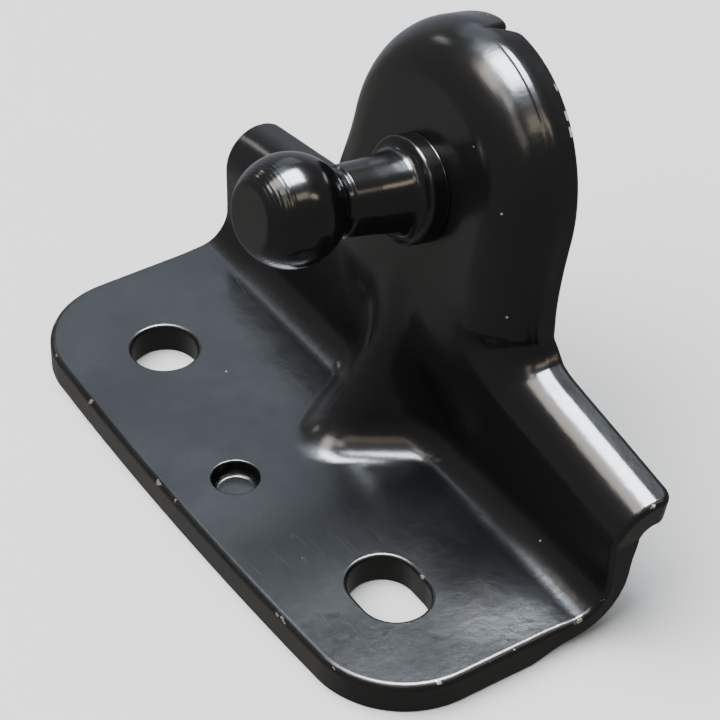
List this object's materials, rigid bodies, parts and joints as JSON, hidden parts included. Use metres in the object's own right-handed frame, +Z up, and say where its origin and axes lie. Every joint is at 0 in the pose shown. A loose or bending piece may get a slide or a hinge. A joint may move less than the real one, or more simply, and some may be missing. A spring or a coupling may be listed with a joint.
{
  "type": "ball stud bracket",
  "caption": "Pressed steel angle bracket with a bolt hole, a slot and a leaning ear that carries a riveted ball stud, for the end of a gas strut or linear actuator.",
  "frame": {"origin": "on the flat underside of the base plate, midway between the centres of the two fixing holes", "axes": "+X along the bend from the round hole towards the slot, +Y from the free front edge towards the upright, +Z up, away from the surface that the plate is bolted to"},
  "size_m": [0.0642, 0.0355, 0.0414],
  "materials": {
    "black_paint": "semi-gloss black paint over pressed mild steel",
    "black_paint_on_stud": "gloss black paint over a cold-headed and turned steel stud"
  },
  "bodies": {
    "root": {"bracket": "black_paint", "ball_stud": "black_paint_on_stud"}
  },
  "joints": []
}
